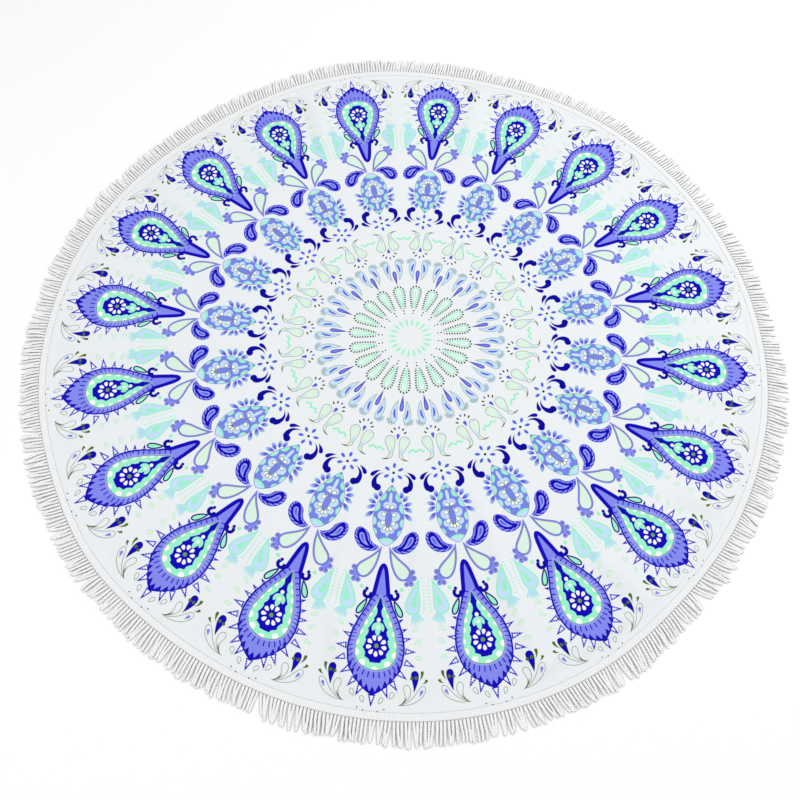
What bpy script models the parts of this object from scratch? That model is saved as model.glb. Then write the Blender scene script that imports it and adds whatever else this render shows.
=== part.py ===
"""A round beach towel with a corded fringe, spread loosely on a floor.

Two pieces are made and sewn together: the round cloth with its turned hem, and the fringe trim, a ribbed
heading whose cords hang outward all round. The cloth lies flat but for the soft folds that run in from
its rim, and the trim lies flat on the floor round it.

Units are metres, +Z is up and the floor is at z = 0. The origin is on the floor, under the middle of the
whole outline. Angles are in degrees, anticlockwise from +X as seen from above.
"""

import math
import random
from collections import namedtuple

import bmesh
import bpy

# The round cloth
CLOTH_RADIUS = 0.701
CLOTH_THICKNESS = 0.002
HEM_WIDTH = 0.012
HEM_THICKNESS = 0.003
CLOTH_SPOKES = 112
CLOTH_RINGS = 11
RING_CROWDING = 0.7
FRONT_CROWDING = 0.3
FRONT_ANGLE = 270

# The fringe trim: a heading and, for each two or three cords, one lock. A lock's widths are shares of
# the locks' pitch, and its tip leans sideways.
SEWING_GAP = 0.0005
HEADING_WIDTH = 0.012
FRINGE_THICKNESS = 0.0035
LOCKS = 300
LOCK_LENGTH = 0.0365
ROOT_SHARE = 0.66
LOCK_ROWS = ((0.5, 0.62), (1.0, 0.48))
LENGTH_UNEVENNESS = 0.10
LENGTH_KNOT_EVERY = 6
LEAN_WANDER = 0.009
LEAN_KNOT_EVERY = 12
LEAN_UNEVENNESS = 0.0010
LEAN_CURL = 1.3
FRINGE_SEED = 7

# The middle of the round, which the drawn-in rim puts a little off the outline's own middle
CENTRE = (0.0042, 0.0033)

# Where the rim is let out (+) or drawn in (-), and over how many degrees to each side
Pull = namedtuple("Pull", "angle outward spread")
PULLS = (
    Pull(45, 0.005, 16),
    Pull(76, -0.010, 10),
    Pull(130, -0.018, 14),
    Pull(190, 0.0085, 14),
    Pull(217, 0.009, 8),
    Pull(312, -0.0115, 12),
    Pull(336, -0.003, 8),
)

# Each fold is a straight soft ridge from its inner end to its outer end
Fold = namedtuple("Fold", "angle_in radius_in angle_out radius_out half_width height")
FOLDS = (
    Fold(19, 0.290, 21, 0.400, 0.030, 0.004),
    Fold(53, 0.500, 52, 0.690, 0.050, 0.004),
    Fold(72, 0.430, 74, 0.690, 0.042, 0.006),
    Fold(92, 0.330, 90, 0.650, 0.045, 0.005),
    Fold(109, 0.480, 108, 0.692, 0.036, 0.009),
    Fold(127, 0.662, 142, 0.664, 0.030, 0.006),
    Fold(147, 0.480, 144, 0.680, 0.045, 0.008),
    Fold(163, 0.460, 164, 0.690, 0.042, 0.007),
    Fold(184, 0.240, 181, 0.692, 0.050, 0.009),
    Fold(201, 0.460, 200, 0.690, 0.050, 0.007),
    Fold(221, 0.500, 219, 0.690, 0.046, 0.006),
    Fold(238, 0.440, 237, 0.680, 0.042, 0.006),
    Fold(253, 0.350, 254, 0.530, 0.030, 0.006),
    Fold(254, 0.530, 260, 0.692, 0.034, 0.009),
    Fold(271, 0.370, 270, 0.540, 0.026, 0.007),
    Fold(275, 0.600, 267, 0.690, 0.028, 0.006),
    Fold(290, 0.320, 288, 0.560, 0.030, 0.007),
    Fold(288, 0.520, 288, 0.692, 0.036, 0.010),
    Fold(287, 0.660, 305, 0.664, 0.030, 0.007),
    Fold(306, 0.540, 308, 0.690, 0.036, 0.008),
    Fold(326, 0.580, 327, 0.690, 0.034, 0.007),
    Fold(350, 0.500, 348, 0.690, 0.050, 0.004),
)
FOLD_HEIGHT_AT_RIM = 0.15
RIM_FADE = 0.040

# Where the fringe parts, and how far each side's nearest lock swings away at its tip
Parting = namedtuple("Parting", "angle swing")
PARTINGS = (
    Parting(4, 0.004),
    Parting(28.5, 0.007),
    Parting(51, 0.004),
    Parting(73.5, 0.006),
    Parting(93, 0.006),
    Parting(135, 0.004),
    Parting(198.5, 0.006),
    Parting(219.5, 0.004),
    Parting(248, 0.008),
    Parting(266, 0.005),
    Parting(298, 0.006),
    Parting(313, 0.008),
    Parting(328.5, 0.009),
    Parting(335, 0.004),
)
PARTING_REACH = 2.2

# How the finished pieces look
CLOTH_COLOUR = (0.86, 0.88, 0.90, 1)
CORD_COLOUR = (0.88, 0.86, 0.83, 1)
CLOTH_ROUGHNESS = 0.85
CORD_ROUGHNESS = 0.9


def turn_from(angle, other):
    """The turn from one angle to another, in degrees from -180 to 180."""
    return (angle - other + 180) % 360 - 180


def rim_offset(angle):
    """How far the rim is let out or drawn in at this angle: the sum of the pulls, each a bell curve."""
    return sum(
        pull.outward * math.exp(-0.5 * (turn_from(angle, pull.angle) / pull.spread) ** 2)
        for pull in PULLS
    )


def placed(angle, radius):
    """The point at this angle and radius round the middle of the round."""
    turn = math.radians(angle)
    return CENTRE[0] + radius * math.cos(turn), CENTRE[1] + radius * math.sin(turn)


def fold_height(fold, x, y):
    """A ridge that swells and fades along its line, with a round crest and a soft foot to each side."""
    start = placed(fold.angle_in, fold.radius_in)
    end = placed(fold.angle_out, fold.radius_out)
    along = (end[0] - start[0], end[1] - start[1])
    length = math.hypot(*along)
    share = ((x - start[0]) * along[0] + (y - start[1]) * along[1]) / length**2
    across = abs((x - start[0]) * along[1] - (y - start[1]) * along[0]) / length
    if not 0 < share < 1 or across >= fold.half_width:
        return 0
    swell = 1 - (2 * share - 1) ** 4
    return fold.height * swell * (1 - (across / fold.half_width) ** 2) ** 2


def cloth_height(x, y, radius, edge):
    """How high the cloth stands off the floor: the highest fold there, let down towards the rim."""
    lift = max(fold_height(fold, x, y) for fold in FOLDS)
    to_rim = min(1, (edge - radius) / RIM_FADE)
    return lift * (FOLD_HEIGHT_AT_RIM + (1 - FOLD_HEIGHT_AT_RIM) * math.sin(to_rim * math.pi / 2))


def clear_scene():
    for obj in list(bpy.data.objects):
        bpy.data.objects.remove(obj, do_unlink=True)
    for collection in list(bpy.data.collections):
        bpy.data.collections.remove(collection)


def fabric(name, colour, roughness):
    material = bpy.data.materials.new(name)
    material.use_nodes = True
    shader = material.node_tree.nodes["Principled BSDF"]
    shader.inputs["Base Color"].default_value = colour
    shader.inputs["Roughness"].default_value = roughness
    shader.inputs["Metallic"].default_value = 0
    material.diffuse_color = colour
    return material


def add_piece(name, bm, material, collection):
    bmesh.ops.recalc_face_normals(bm, faces=bm.faces)
    if sum(face.normal.z for face in bm.faces) < 0:
        bmesh.ops.reverse_faces(bm, faces=bm.faces)
    mesh = bpy.data.meshes.new(name)
    bm.to_mesh(mesh)
    bm.free()
    mesh.materials.append(material)
    piece = bpy.data.objects.new(name, mesh)
    collection.objects.link(piece)
    return piece


def thicken(piece, thickness):
    """Gives a sheet its thickness, all of it upward from the sheet."""
    solidify = piece.modifiers.new("thickness", "SOLIDIFY")
    solidify.thickness = thickness
    solidify.offset = 1
    return solidify


def spun(radii, steps):
    """A flat disc or ring of quads: a row of points at these radii, turned once round the Z axis."""
    bm = bmesh.new()
    row = [bm.verts.new((radius, 0, 0)) for radius in radii]
    edges = [bm.edges.new(pair) for pair in zip(row, row[1:])]
    bmesh.ops.spin(
        bm, geom=row + edges, cent=(0, 0, 0), axis=(0, 0, 1), angle=math.tau, steps=steps, use_duplicate=False
    )
    bmesh.ops.remove_doubles(bm, verts=bm.verts, dist=1e-5)
    return bm


def spoke_angle(even_angle):
    """The cloth's spokes stand closer together at the front, where most of the folds are."""
    turn = math.radians(even_angle - FRONT_ANGLE)
    return even_angle - math.degrees(FRONT_CROWDING * math.sin(turn))


def make_cloth(collection):
    """The round cloth: a spun disc, drawn in at its rim, lifted in folds and thicker at its turned hem."""
    inside_hem = CLOTH_RADIUS - HEM_WIDTH
    radii = [inside_hem * (ring / CLOTH_RINGS) ** RING_CROWDING for ring in range(CLOTH_RINGS + 1)]
    bm = spun(radii + [CLOTH_RADIUS], CLOTH_SPOKES)
    for vert in bm.verts:
        flat_radius = math.hypot(vert.co.x, vert.co.y)
        angle = spoke_angle(math.degrees(math.atan2(vert.co.y, vert.co.x)))
        share = flat_radius / CLOTH_RADIUS
        edge = CLOTH_RADIUS + rim_offset(angle)
        radius = flat_radius + rim_offset(angle) * share**3
        x, y = placed(angle, radius)
        vert.co = (x, y, cloth_height(x, y, radius, edge))
    bm.verts.index_update()
    hem_points = [vert.index for vert in bm.verts if vert.is_boundary]
    cloth = add_piece("cloth", bm, fabric("white cloth", CLOTH_COLOUR, CLOTH_ROUGHNESS), collection)
    cloth.vertex_groups.new(name="hem").add(hem_points, 1, "REPLACE")
    solidify = thicken(cloth, HEM_THICKNESS)
    solidify.vertex_group = "hem"
    solidify.thickness_vertex_group = CLOTH_THICKNESS / HEM_THICKNESS
    return cloth


def wander(noise, every):
    """A value for each lock that eases from one random knot to the next, with a knot every few locks."""
    knots = [noise.uniform(-1, 1) for _ in range(LOCKS // every)]
    values = []
    for lock in range(LOCKS):
        knot, share = divmod(lock / every, 1)
        here = knots[int(knot) % len(knots)]
        there = knots[(int(knot) + 1) % len(knots)]
        values.append(here + (there - here) * share * share * (3 - 2 * share))
    return values


def parting_swing(angle):
    """How far a tip swings sideways, away from each parting and less the further along the fringe it is."""
    swing = 0
    for parting in PARTINGS:
        turn = turn_from(angle, parting.angle)
        swing += math.copysign(parting.swing, turn) * math.exp(-abs(turn) / PARTING_REACH)
    return swing


def lock_angle(lock):
    return (lock + ROOT_SHARE / 2) * 360 / LOCKS


def lock_shapes():
    """Each lock's length and its tip's lean: a slow wander, a little chance and the partings."""
    noise = random.Random(FRINGE_SEED)
    leaning = wander(noise, LEAN_KNOT_EVERY)
    longer = wander(noise, LENGTH_KNOT_EVERY)
    shapes = []
    for lock in range(LOCKS):
        length = LOCK_LENGTH * (1 + LENGTH_UNEVENNESS * (longer[lock] + noise.uniform(-0.7, 0.7)))
        lean = LEAN_WANDER * leaning[lock] + LEAN_UNEVENNESS * noise.uniform(-1, 1)
        shapes.append((length, lean + parting_swing(lock_angle(lock))))
    return shapes


def make_heading():
    """A flat ring of twice as many quads as locks. It also returns the side of which lock each outer point is."""
    inner = CLOTH_RADIUS + SEWING_GAP
    outer = inner + HEADING_WIDTH
    bm = spun((inner, outer), 2 * LOCKS)
    sides = {}
    for vert in bm.verts:
        step = round(math.atan2(vert.co.y, vert.co.x) / math.tau * 2 * LOCKS) % (2 * LOCKS)
        lock, side = divmod(step, 2)
        angle = lock_angle(lock) + (side - 0.5) * ROOT_SHARE * 360 / LOCKS
        radius = math.hypot(vert.co.x, vert.co.y)
        vert.co = (*placed(angle, radius + rim_offset(angle)), 0)
        if radius > inner + HEADING_WIDTH / 2:
            sides[vert] = (lock, side)
    return bm, sides


def is_root(edge, sides):
    """Whether this edge joins the two sides of one lock."""
    return all(vert in sides for vert in edge.verts) and len({sides[vert][0] for vert in edge.verts}) == 1


def make_fringe(collection):
    """The trim: a flat heading, and locks drawn out of every other edge of its outer side."""
    bm, sides = make_heading()
    shapes = lock_shapes()
    edges = [edge for edge in bm.edges if is_root(edge, sides)]
    for share_along, share_across in LOCK_ROWS:
        made = bmesh.ops.extrude_edge_only(bm, edges=edges)["geom"]
        ends = [item for item in made if isinstance(item, bmesh.types.BMVert)]
        edges = [item for item in made if isinstance(item, bmesh.types.BMEdge) and set(item.verts) <= set(ends)]
        for vert in ends:
            beside = [edge.other_vert(vert) for edge in vert.link_edges]
            below = next(other for other in beside if other not in ends)
            lock, side = sides[below]
            sides[vert] = (lock, side)
            length, lean = shapes[lock]
            middle = lock_angle(lock)
            radius = CLOTH_RADIUS + SEWING_GAP + HEADING_WIDTH + rim_offset(middle) + length * share_along
            across = (side - 0.5) * share_across * math.tau / LOCKS
            leaning = lean * share_along**LEAN_CURL / radius
            vert.co = (*placed(middle + math.degrees(across + leaning), radius), 0)
    fringe = add_piece("fringe", bm, fabric("white cord", CORD_COLOUR, CORD_ROUGHNESS), collection)
    thicken(fringe, FRINGE_THICKNESS)
    return fringe


clear_scene()
towel = bpy.data.collections.new("round beach towel")
bpy.context.scene.collection.children.link(towel)
make_cloth(towel)
make_fringe(towel)
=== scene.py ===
import math
import random
from collections import namedtuple
from functools import reduce

import bpy
import numpy as np
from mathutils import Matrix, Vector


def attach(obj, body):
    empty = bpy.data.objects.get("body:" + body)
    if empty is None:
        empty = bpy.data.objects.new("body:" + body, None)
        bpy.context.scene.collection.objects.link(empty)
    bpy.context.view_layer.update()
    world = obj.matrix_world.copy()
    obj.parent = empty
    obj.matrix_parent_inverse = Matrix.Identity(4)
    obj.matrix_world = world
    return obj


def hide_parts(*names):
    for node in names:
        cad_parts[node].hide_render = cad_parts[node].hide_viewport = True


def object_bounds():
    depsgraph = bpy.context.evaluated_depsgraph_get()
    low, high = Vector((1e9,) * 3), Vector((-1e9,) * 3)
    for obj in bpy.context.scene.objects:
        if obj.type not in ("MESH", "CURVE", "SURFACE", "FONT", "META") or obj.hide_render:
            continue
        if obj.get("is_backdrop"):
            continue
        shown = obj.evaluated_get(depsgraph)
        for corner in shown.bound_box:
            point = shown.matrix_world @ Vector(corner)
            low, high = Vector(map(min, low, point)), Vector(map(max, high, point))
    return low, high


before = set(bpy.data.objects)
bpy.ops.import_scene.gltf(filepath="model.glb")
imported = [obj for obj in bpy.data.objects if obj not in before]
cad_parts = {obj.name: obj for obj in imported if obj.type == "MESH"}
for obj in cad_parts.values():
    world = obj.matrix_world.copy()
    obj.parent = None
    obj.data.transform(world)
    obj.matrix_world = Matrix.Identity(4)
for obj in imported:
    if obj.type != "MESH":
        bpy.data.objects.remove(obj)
cad_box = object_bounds()


# ------------------------------
# The studio: a plain white floor and soft white light from all round, a little stronger from the right
# and behind. The camera looks down at the towel from the height of someone standing over it.

CAMERA_PLACE = (-0.073631, -0.749614, 1.397072)
CAMERA_TURN = (23.7956, -2.0637, -0.7596)
SENSOR_WIDTH = 36.0
FOCAL_LENGTH = 35.611
FLOOR_SIZE = 24.0
ROOM_LIGHT = 0.70


def linear(code):
    """An sRGB hex colour as the red, green, blue and alpha that a shader wants."""
    part = np.array([int(code[i : i + 2], 16) for i in (1, 3, 5)]) / 255
    curve = np.where(part <= 0.04045, part / 12.92, ((part + 0.055) / 1.055) ** 2.4)
    return (*curve.tolist(), 1.0)


def set_curve(node, points):
    """Gives a Float Curve node straight runs between these (share, value) points."""
    curve = node.mapping.curves[0]
    node.mapping.use_clip = False
    for place, point in zip((0, 1), (points[0], points[-1])):
        curve.points[place].location = point
    for point in points[1:-1]:
        curve.points.new(*point)
    for point in curve.points:
        point.handle_type = "VECTOR"
    node.mapping.update()


class Value:
    """What a socket carries. Arithmetic on it adds Math nodes to its material."""

    def __init__(self, finish, socket):
        self.finish = finish
        self.socket = socket

    def math(self, operation, *others, clamp=False):
        return self.finish.math(operation, self, *others, clamp=clamp)

    def vector_math(self, operation, other, output=0):
        return self.finish.add("ShaderNodeVectorMath", {"operation": operation}, {0: self, 1: other}, output)

    def __add__(self, other):
        return self.math("ADD", other)

    __radd__ = __add__

    def __sub__(self, other):
        return self.math("SUBTRACT", other)

    def __rsub__(self, other):
        return self.finish.math("SUBTRACT", other, self)

    def __mul__(self, other):
        return self.math("MULTIPLY", other)

    __rmul__ = __mul__

    def __abs__(self):
        return self.math("ABSOLUTE")

    def times_plus(self, gain, shift, clamp=False):
        return self.math("MULTIPLY_ADD", gain, shift, clamp=clamp)

    def dot(self, weights):
        return self.vector_math("DOT_PRODUCT", weights, output=1)

    def parts(self):
        split = self.finish.add("ShaderNodeSeparateXYZ", {}, {0: self})
        return [Value(self.finish, socket) for socket in split.socket.node.outputs]


class Finish:
    """A material. Its nodes are added one at a time, each after the ones that it reads."""

    def __init__(self, name):
        self.material = bpy.data.materials.new(name)
        self.material.use_nodes = True
        self.tree = self.material.node_tree
        self.tree.nodes.clear()

    def add(self, kind, settings, inputs, output=0):
        """A node of this type, with its settings first and then its sockets' values or links."""
        node = self.tree.nodes.new(kind)
        node.location = (180 * (len(self.tree.nodes) % 40), -220 * (len(self.tree.nodes) // 40))
        for name, setting in settings.items():
            if name == "points":
                set_curve(node, setting)
            else:
                setattr(node, name, setting)
        for socket, value in inputs.items():
            if isinstance(value, Value):
                self.tree.links.new(value.socket, node.inputs[socket])
            else:
                node.inputs[socket].default_value = value
        return Value(self, node.outputs[output]) if node.outputs else None

    def math(self, operation, *values, clamp=False):
        settings = {"operation": operation, "use_clamp": clamp}
        return self.add("ShaderNodeMath", settings, dict(enumerate(values)))

    def noise(self, scale, detail=2.0):
        """Cloudy unevenness over the piece, finer the larger its scale."""
        place = self.add("ShaderNodeTexCoord", {}, {}, output=3)
        return self.add("ShaderNodeTexNoise", {}, {"Vector": place, "Scale": scale, "Detail": detail})

    def mixed(self, factor, under, over, blend="MIX"):
        """Two colours mixed: under where the factor is 0, over where it is 1."""
        settings = {"data_type": "RGBA", "blend_type": blend, "clamp_factor": False}
        return self.add("ShaderNodeMix", settings, {0: factor, 6: under, 7: over}, output=2)

    def surface(self, colour, height, depth, strength, roughness, gloss):
        """Ends the material: a matt surface of this colour, roughened by this height in a bump."""
        bump = self.add("ShaderNodeBump", {}, {"Strength": strength, "Distance": depth, "Height": height})
        look = {"Base Color": colour, "Normal": bump, "Roughness": roughness, "Specular IOR Level": gloss}
        shader = self.add("ShaderNodeBsdfPrincipled", {}, {**look, "Metallic": 0.0})
        self.add("ShaderNodeOutputMaterial", {}, {"Surface": shader})
        return self.material


def add_mesh(name, points, faces, material, uv=None, uv_name=None):
    """An object from an array of points and lists of faces, smooth, with a UV for each face's corners."""
    mesh = bpy.data.meshes.new(name)
    mesh.from_pydata(points.tolist(), [], faces)
    mesh.polygons.foreach_set("use_smooth", np.ones(len(mesh.polygons), dtype=bool))
    if uv is not None:
        mesh.uv_layers.new(name=uv_name).data.foreach_set("uv", np.asarray(uv, dtype=np.float32).ravel())
    mesh.materials.append(material)
    mesh.update()
    made = bpy.data.objects.new(name, mesh)
    bpy.context.scene.collection.objects.link(made)
    return made


def painted_floor():
    """White paint with the faintest unevenness."""
    finish = Finish("white floor paint")
    speck = finish.noise(40.0)
    white = finish.mixed(speck, linear("#FDFDFD"), linear("#FFFFFF"))
    return finish.surface(white, speck, 0.0002, 0.2, 0.7, 0.5)


half = FLOOR_SIZE / 2
corners = np.array([(-half, -half, 0), (half, -half, 0), (half, half, 0), (-half, half, 0)], dtype=float)
floor = add_mesh("floor", corners, [(0, 1, 2, 3)], painted_floor())
floor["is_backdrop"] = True

world = bpy.data.worlds.new("soft white room")
world.use_nodes = True
world.node_tree.nodes["Background"].inputs["Color"].default_value = linear("#FFFFFF")
world.node_tree.nodes["Background"].inputs["Strength"].default_value = ROOM_LIGHT
bpy.context.scene.world = world

# Both boxes face the middle of the floor
for name, place, size, power in (
    ("right soft box", (1.9, 1.0, 2.3), 1.8, 29),
    ("left soft box", (-1.6, -0.9, 2.8), 2.2, 21.5),
):
    light = bpy.data.lights.new(name, "AREA")
    light.shape = "DISK"
    light.size = size
    light.energy = power
    lamp = bpy.data.objects.new(name, light)
    lamp.location = place
    x, y, z = place
    lamp.rotation_euler = (math.atan2(math.hypot(x, y), z), 0, math.atan2(-y, -x) - math.pi / 2)
    bpy.context.scene.collection.objects.link(lamp)

lens = bpy.data.cameras.new("standing view")
lens.sensor_width = SENSOR_WIDTH
lens.lens = FOCAL_LENGTH
camera = bpy.data.objects.new("standing view", lens)
camera.location = CAMERA_PLACE
camera.rotation_mode = "ZYX"
camera.rotation_euler = [math.radians(turn) for turn in CAMERA_TURN]
bpy.context.scene.collection.objects.link(camera)
bpy.context.scene.camera = camera
bpy.context.scene.view_settings.view_transform = "Standard"


# ------------------------------
# The cloth: one round of thin white towelling, printed on its face, its raw edge turned under in a
# narrow hem. It lies loosely on the floor, in soft folds that run in from its rim.

ROUND_MIDDLE = (0.0042, 0.0033)
CLOTH_RADIUS = 0.701
CLOTH_THICKNESS = 0.002
HEM_WIDTH = 0.012
HEM_THICKNESS = 0.003
HEM_SWELL_END = 0.15
HEM_ROLL_START = 0.93
HEM_SIDE_HEIGHT = 0.8
FACE_SPOKES = 480
FACE_RINGS = 118
HEM_RINGS = 6
BACK_RINGS = 59
RIPPLE_HEIGHT = 0.0007
RIPPLE_WAVES = 8
RIPPLE_LENGTHS = (0.05, 0.21)
RIPPLE_SEED = 3
SIDEWAYS_LIE = 0.01265
NEARWARD_LIE = -0.00927
RIM_PULL_POWER = 12

# Where the rim is let out (+) or drawn in (-), how far, and over how many degrees to each side
PULLS = (
    (45, 0.005, 16), (76, -0.010, 10), (130, -0.018, 14), (190, 0.0085, 14), (217, 0.009, 8),
    (312, -0.0115, 12), (336, -0.003, 8),
)

# Where the cloth was pushed about as it settled, in millimetres: rings of places by their radius, how far
# round a place its push reaches, and for each place its angle and its push outward and sideways
PUSH_RINGS = (
    (0, 200, ((0, 2, -1.5),)),
    (350, 160, ((0, 0, 0.5), (60, -3, -0.5), (120, -4, 4.5), (180, -0.5, 3), (240, 2, 0), (300, -3, -2))),
    (
        620, 100, (
            (0, 0.5, -2.5), (26, -1, -2), (51, -1.5, 0.5), (77, 1.5, -0.5), (103, -4.5, -1.5), (129, 4.5, -4),
            (154, 2.5, 4.5), (180, -2.5, 3), (206, 1, 0.5), (231, 0, -2.5), (257, 2.5, 1.5), (283, 0, -3),
            (309, 2, -1.5), (334, -4.5, -2.5),
        ),
    ),
    (660, 50, ((75, 8, 1), (128, 10.5, -0.5), (145, 3.5, -6), (300, 1, -4))),
)

# Each fold is a straight soft ridge: the angle and radius of its inner end, the same of its outer end, its
# half-width and its height, with lengths in millimetres
FOLDS = (
    (19, 290, 21, 400, 30, 4), (53, 500, 52, 690, 50, 4), (72, 430, 74, 690, 42, 6),
    (92, 330, 90, 650, 45, 5), (109, 480, 108, 692, 36, 9), (127, 662, 142, 664, 30, 6),
    (147, 480, 144, 680, 45, 8), (163, 460, 164, 690, 42, 7), (184, 240, 181, 692, 50, 9),
    (201, 460, 200, 690, 50, 7), (221, 500, 219, 690, 46, 6), (238, 440, 237, 680, 42, 6),
    (253, 350, 254, 530, 30, 6), (254, 530, 260, 692, 34, 9), (271, 370, 270, 540, 26, 7),
    (275, 600, 267, 690, 28, 6), (290, 320, 288, 560, 30, 7), (288, 520, 288, 692, 36, 10),
    (287, 660, 305, 664, 30, 7), (306, 540, 308, 690, 36, 8), (326, 580, 327, 690, 34, 7),
    (350, 500, 348, 690, 50, 4),
)

# Small creases beside the folds, where the cloth was pinched near its rim
CREASES = (
    (121, 684, 134, 671, 10, 4), (132, 672, 146, 660, 11, 3.5), (149, 690, 158, 680, 11, 2.5),
    (284, 690, 291, 655, 12, 3), (290, 692, 299, 660, 12, 3), (296, 676, 307, 650, 12, 3),
)
FOLD_HEIGHT_AT_RIM = 0.15
RIM_FADE = 0.040


def turn_from(angle, other):
    """The turn from one angle to another, in degrees from -180 to 180."""
    return (angle - other + 180) % 360 - 180


def rim_offset(angle):
    """How far the rim is let out or drawn in at these angles: the sum of the pulls, each a bell curve."""
    pulls = ((outward, turn_from(angle, middle) / spread) for middle, outward, spread in PULLS)
    return sum(outward * np.exp(-0.5 * away**2) for outward, away in pulls)


def placed(angle, radius):
    """The points at these angles, in degrees, and radii round the middle of the round."""
    turn = np.radians(angle)
    return ROUND_MIDDLE[0] + radius * np.cos(turn), ROUND_MIDDLE[1] + radius * np.sin(turn)


def fold_height(fold, x, y):
    """A ridge that swells and fades along its line, with a round crest and a soft foot to each side."""
    angle_in, radius_in, angle_out, radius_out, half_width, height = fold
    start = placed(angle_in, radius_in / 1000)
    end = placed(angle_out, radius_out / 1000)
    along = (end[0] - start[0], end[1] - start[1])
    length = math.hypot(*along)
    share = ((x - start[0]) * along[0] + (y - start[1]) * along[1]) / length**2
    across = np.abs((x - start[0]) * along[1] - (y - start[1]) * along[0]) / length
    swell = 1 - (2 * np.clip(share, 0, 1) - 1) ** 4
    return height / 1000 * swell * (1 - np.clip(across / (half_width / 1000), 0, 1) ** 2) ** 2


def ripple(x, y):
    """Slight unevenness that pressed cloth keeps: long waves in chance directions, from 0 to 1."""
    chance = np.random.default_rng(RIPPLE_SEED)
    ways, lengths, starts = (
        chance.uniform(low, high, RIPPLE_WAVES) for low, high in ((0, math.tau), RIPPLE_LENGTHS, (0, 6))
    )
    waves = sum(
        np.sin(math.tau * (x * math.cos(way) + y * math.sin(way)) / length + start)
        for way, length, start in zip(ways, lengths, starts)
    )
    return np.clip(0.5 + waves / RIPPLE_WAVES, 0, 1)


def cloth_height(x, y, radius, edge):
    """How high the cloth's underside stands off the floor: the highest fold there with the highest crease
    and the ripple on it, let down at the rim."""
    lift = sum(np.max([fold_height(fold, x, y) for fold in folds], axis=0) for folds in (FOLDS, CREASES))
    to_rim = np.clip((edge - radius) / RIM_FADE, 0, 1)
    down = FOLD_HEIGHT_AT_RIM + (1 - FOLD_HEIGHT_AT_RIM) * np.sin(to_rim * math.pi / 2)
    return lift * down + RIPPLE_HEIGHT * ripple(x, y) * to_rim


def lying(angle, radius):
    """Where points of the flat round come to lie: bowed a little to the side and towards the front, and
    moved by each push, which fades away from its place as a bell curve."""
    turn = np.radians(angle)
    x, y = radius * np.cos(turn), radius * np.sin(turn)
    bowed_x, bowed_y = x + SIDEWAYS_LIE * y**2, y + NEARWARD_LIE * y**2
    for ring, reach, places in PUSH_RINGS:
        for way, outward, sideways in places:
            east, north = math.cos(math.radians(way)), math.sin(math.radians(way))
            away = (x - ring / 1000 * east) ** 2 + (y - ring / 1000 * north) ** 2
            felt = np.exp(-0.5 * away / (reach / 1000) ** 2) / 1000
            bowed_x = bowed_x + felt * (outward * east - sideways * north)
            bowed_y = bowed_y + felt * (outward * north + sideways * east)
    return np.degrees(np.arctan2(bowed_y, bowed_x)), np.hypot(bowed_x, bowed_y)


def cloth_points(angle, share):
    """The underside at these flat angles and shares of the radius, as it lies, with its outermost part let
    out or drawn in to meet the rim."""
    place, radius = lying(angle, share * CLOTH_RADIUS)
    rim_place, rim_radius = lying(angle, CLOTH_RADIUS)
    edge = CLOTH_RADIUS + rim_offset(rim_place)
    radius = radius + (edge - rim_radius) * share**RIM_PULL_POWER
    x, y = placed(place, radius)
    return np.stack([x, y, cloth_height(x, y, radius, edge)], axis=-1)


def ring_faces(rows, columns):
    """Quads between rows of points that each close on themselves."""
    row, column = np.meshgrid(np.arange(rows - 1), np.arange(columns), indexing="ij")
    here, there = row * columns + column, row * columns + (column + 1) % columns
    return np.stack([here, here + columns, there + columns, there], axis=-1).reshape(-1, 4).tolist()


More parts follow.
